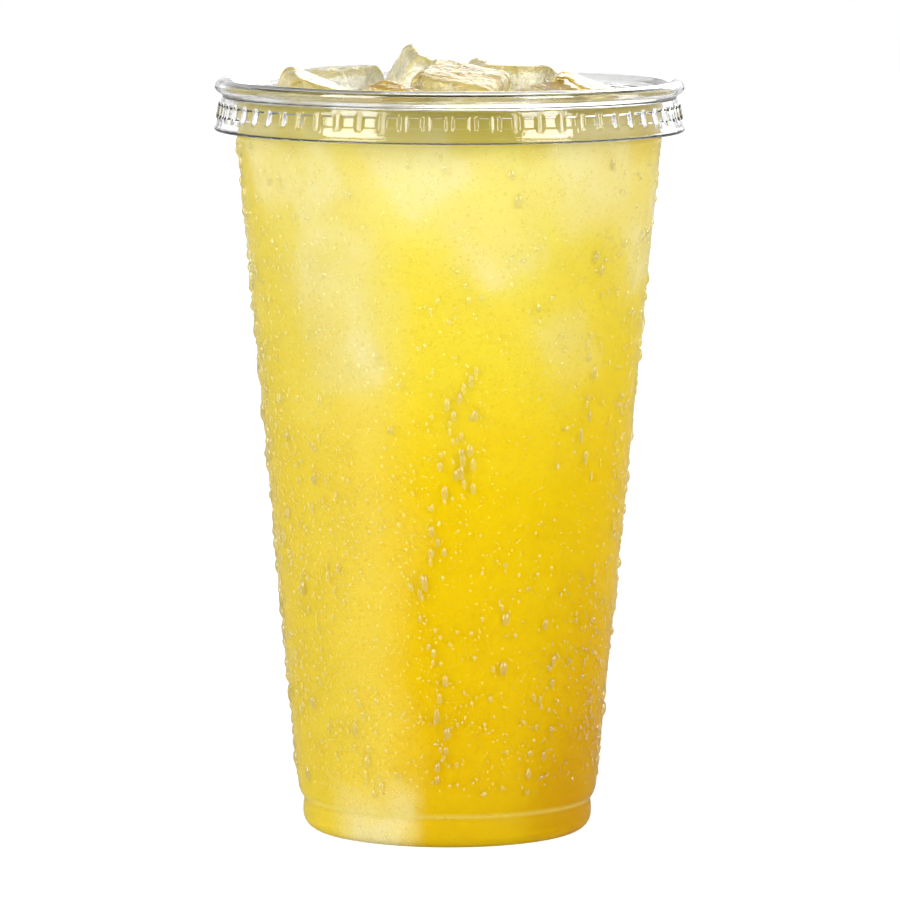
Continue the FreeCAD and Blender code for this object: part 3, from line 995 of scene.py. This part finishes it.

# %% [markdown]
# ## Water
# The drops are clean water. What makes one read is the way its steep edge bends the light away and
# looks darker, and the small bright image of the window on its crown. That dark edge is painted shade:
# the base colour darkens as the surface turns from the eye. The crown gets a smooth coat that the
# window shows in. A drop is open where it meets the wall, so its index is the small step from one wet
# layer to the next. A small share of the light scatters, which lets a drop read as a pale spot
# against the deep yellow.

# %% Water material
water_material, tree, shader = new_material("water_drops")
shader.inputs["Transmission Weight"].default_value = 0.92
shader.inputs["IOR"].default_value = 1.16
turned = add(tree, "ShaderNodeLayerWeight", {"Blend": 0.5}).outputs["Facing"]
# Painted shade: the base colour darkens as the drop's surface turns from the eye.
painted_drop_edge_shade = remap(tree, turned, 0.40, 0.85, soft=True)
crown = mix(tree, speckle(tree, 3.0), (1.0, 0.98, 0.78), (0.98, 0.95, 0.70))
tree.links.new(mix(tree, painted_drop_edge_shade, crown, (0.86, 0.75, 0.36)), shader.inputs["Base Color"])
tree.links.new(remap(tree, speckle(tree, 2.0), 0.0, 1.0, 0.08, 0.11), shader.inputs["Roughness"])
shader.inputs["Coat Weight"].default_value = 1.0
shader.inputs["Coat Roughness"].default_value = 0.03
shader.inputs["Coat IOR"].default_value = 1.55
for piece in drops:
    piece.data.materials.append(water_material)

# %% [markdown]
# ## Floor, backdrop and light
# The cup stands on a white sweep. Rays that go straight to the camera, or by way of clear plastic,
# see the sweep as white. It glows a little less close to the cup, so that the shadow shows there.

# %% Floor
FLOOR_REACH = 3.0
floor = mesh_piece("floor", [(x * FLOOR_REACH / MM, y * FLOOR_REACH / MM, 0) for x, y in
                             ((-1, -1), (1, -1), (1, 1), (-1, 1))], [(0, 1, 2, 3)], sharp_degrees=0)
floor_material = bpy.data.materials.new("white_floor")
floor_material.use_nodes = True
tree = floor_material.node_tree
tree.nodes.clear()
output = tree.nodes.new("ShaderNodeOutputMaterial")
paint = add(tree, "ShaderNodeBsdfDiffuse", {"Color": (0.45, 0.45, 0.45, 1.0)})
shade = add(tree, "ShaderNodeBsdfDiffuse", {"Color": (0.20, 0.20, 0.20, 1.0)})
spot = add(tree, "ShaderNodeTexCoord").outputs["Object"]
away = add(tree, "ShaderNodeVectorMath", {0: spot}, operation="LENGTH").outputs["Value"]
glow = add(tree, "ShaderNodeEmission", {"Strength": remap(tree, away, 0.10, 0.45, 0.9, 1.0, soft=True)})
seen = add(tree, "ShaderNodeAddShader", {0: shade.outputs[0], 1: glow.outputs[0]})
path = add(tree, "ShaderNodeLightPath")
direct = maths(tree, "MAXIMUM", path.outputs["Is Camera Ray"], path.outputs["Is Transmission Ray"])
either = add(tree, "ShaderNodeMixShader", {0: direct, 1: paint.outputs[0], 2: seen.outputs[0]})
tree.links.new(either.outputs[0], output.inputs["Surface"])
floor.data.materials.append(floor_material)

# %% [markdown]
# ## The room
# The room is a pale dome that darkens overhead and behind the camera. Clear plastic has no colour
# of its own, so these darker parts are what its edges draw themselves with.

# %% World
world = bpy.data.worlds.new("studio")
bpy.context.scene.world = world
world.use_nodes = True
tree = world.node_tree
tree.nodes.clear()
output = tree.nodes.new("ShaderNodeOutputWorld")
toward = add(tree, "ShaderNodeTexCoord").outputs["Generated"]
toward = add(tree, "ShaderNodeSeparateXYZ", {"Vector": toward}).outputs
dome = ramp(tree, toward["Z"], [(0.0, (1.0, 1.0, 1.0)), (0.13, (1.0, 1.0, 1.0)),
                                (0.38, (0.42, 0.42, 0.43)), (1.0, (0.28, 0.28, 0.29))])
behind_camera = remap(tree, toward["Y"], -0.15, -0.75, soft=True)
dome = mix(tree, behind_camera, dome, (0.24, 0.24, 0.25))
room = add(tree, "ShaderNodeBackground", {"Color": dome, "Strength": 1.0})
tree.links.new(room.outputs[0], output.inputs["Surface"])


# %% [markdown]
# ## Lamps
# A soft window stands at the left, a second one fills from the right, and a weaker one behind the
# cup lights the ice through its back.

# %% Lamps
def softbox(name, place, size, watts, aim=(0.0, 0.0, 0.08)):
    """A square soft lamp that looks at the middle of the cup."""
    lamp = bpy.data.lights.new(name, "AREA")
    lamp.shape = "RECTANGLE"
    lamp.size, lamp.size_y = size
    lamp.energy = watts
    holder = bpy.data.objects.new(name, lamp)
    bpy.context.collection.objects.link(holder)
    holder.location = place
    holder.rotation_euler = (Vector(aim) - Vector(place)).to_track_quat("-Z", "Y").to_euler()


softbox("key_left", (-1.15, -0.95, 0.62), (0.8, 1.1), 20.5)
softbox("fill_right", (1.3, -1.1, 0.7), (0.8, 1.2), 24.0)
softbox("back_glow", (0.5, 1.4, 0.8), (1.2, 1.0), 10.0)

# %% [markdown]
# ## Colour management
# The Standard view keeps colours as written. The visual model has to stay inside the CAD's box.

# %% Finish
bpy.context.scene.view_settings.view_transform = "Standard"
bpy.context.view_layer.update()
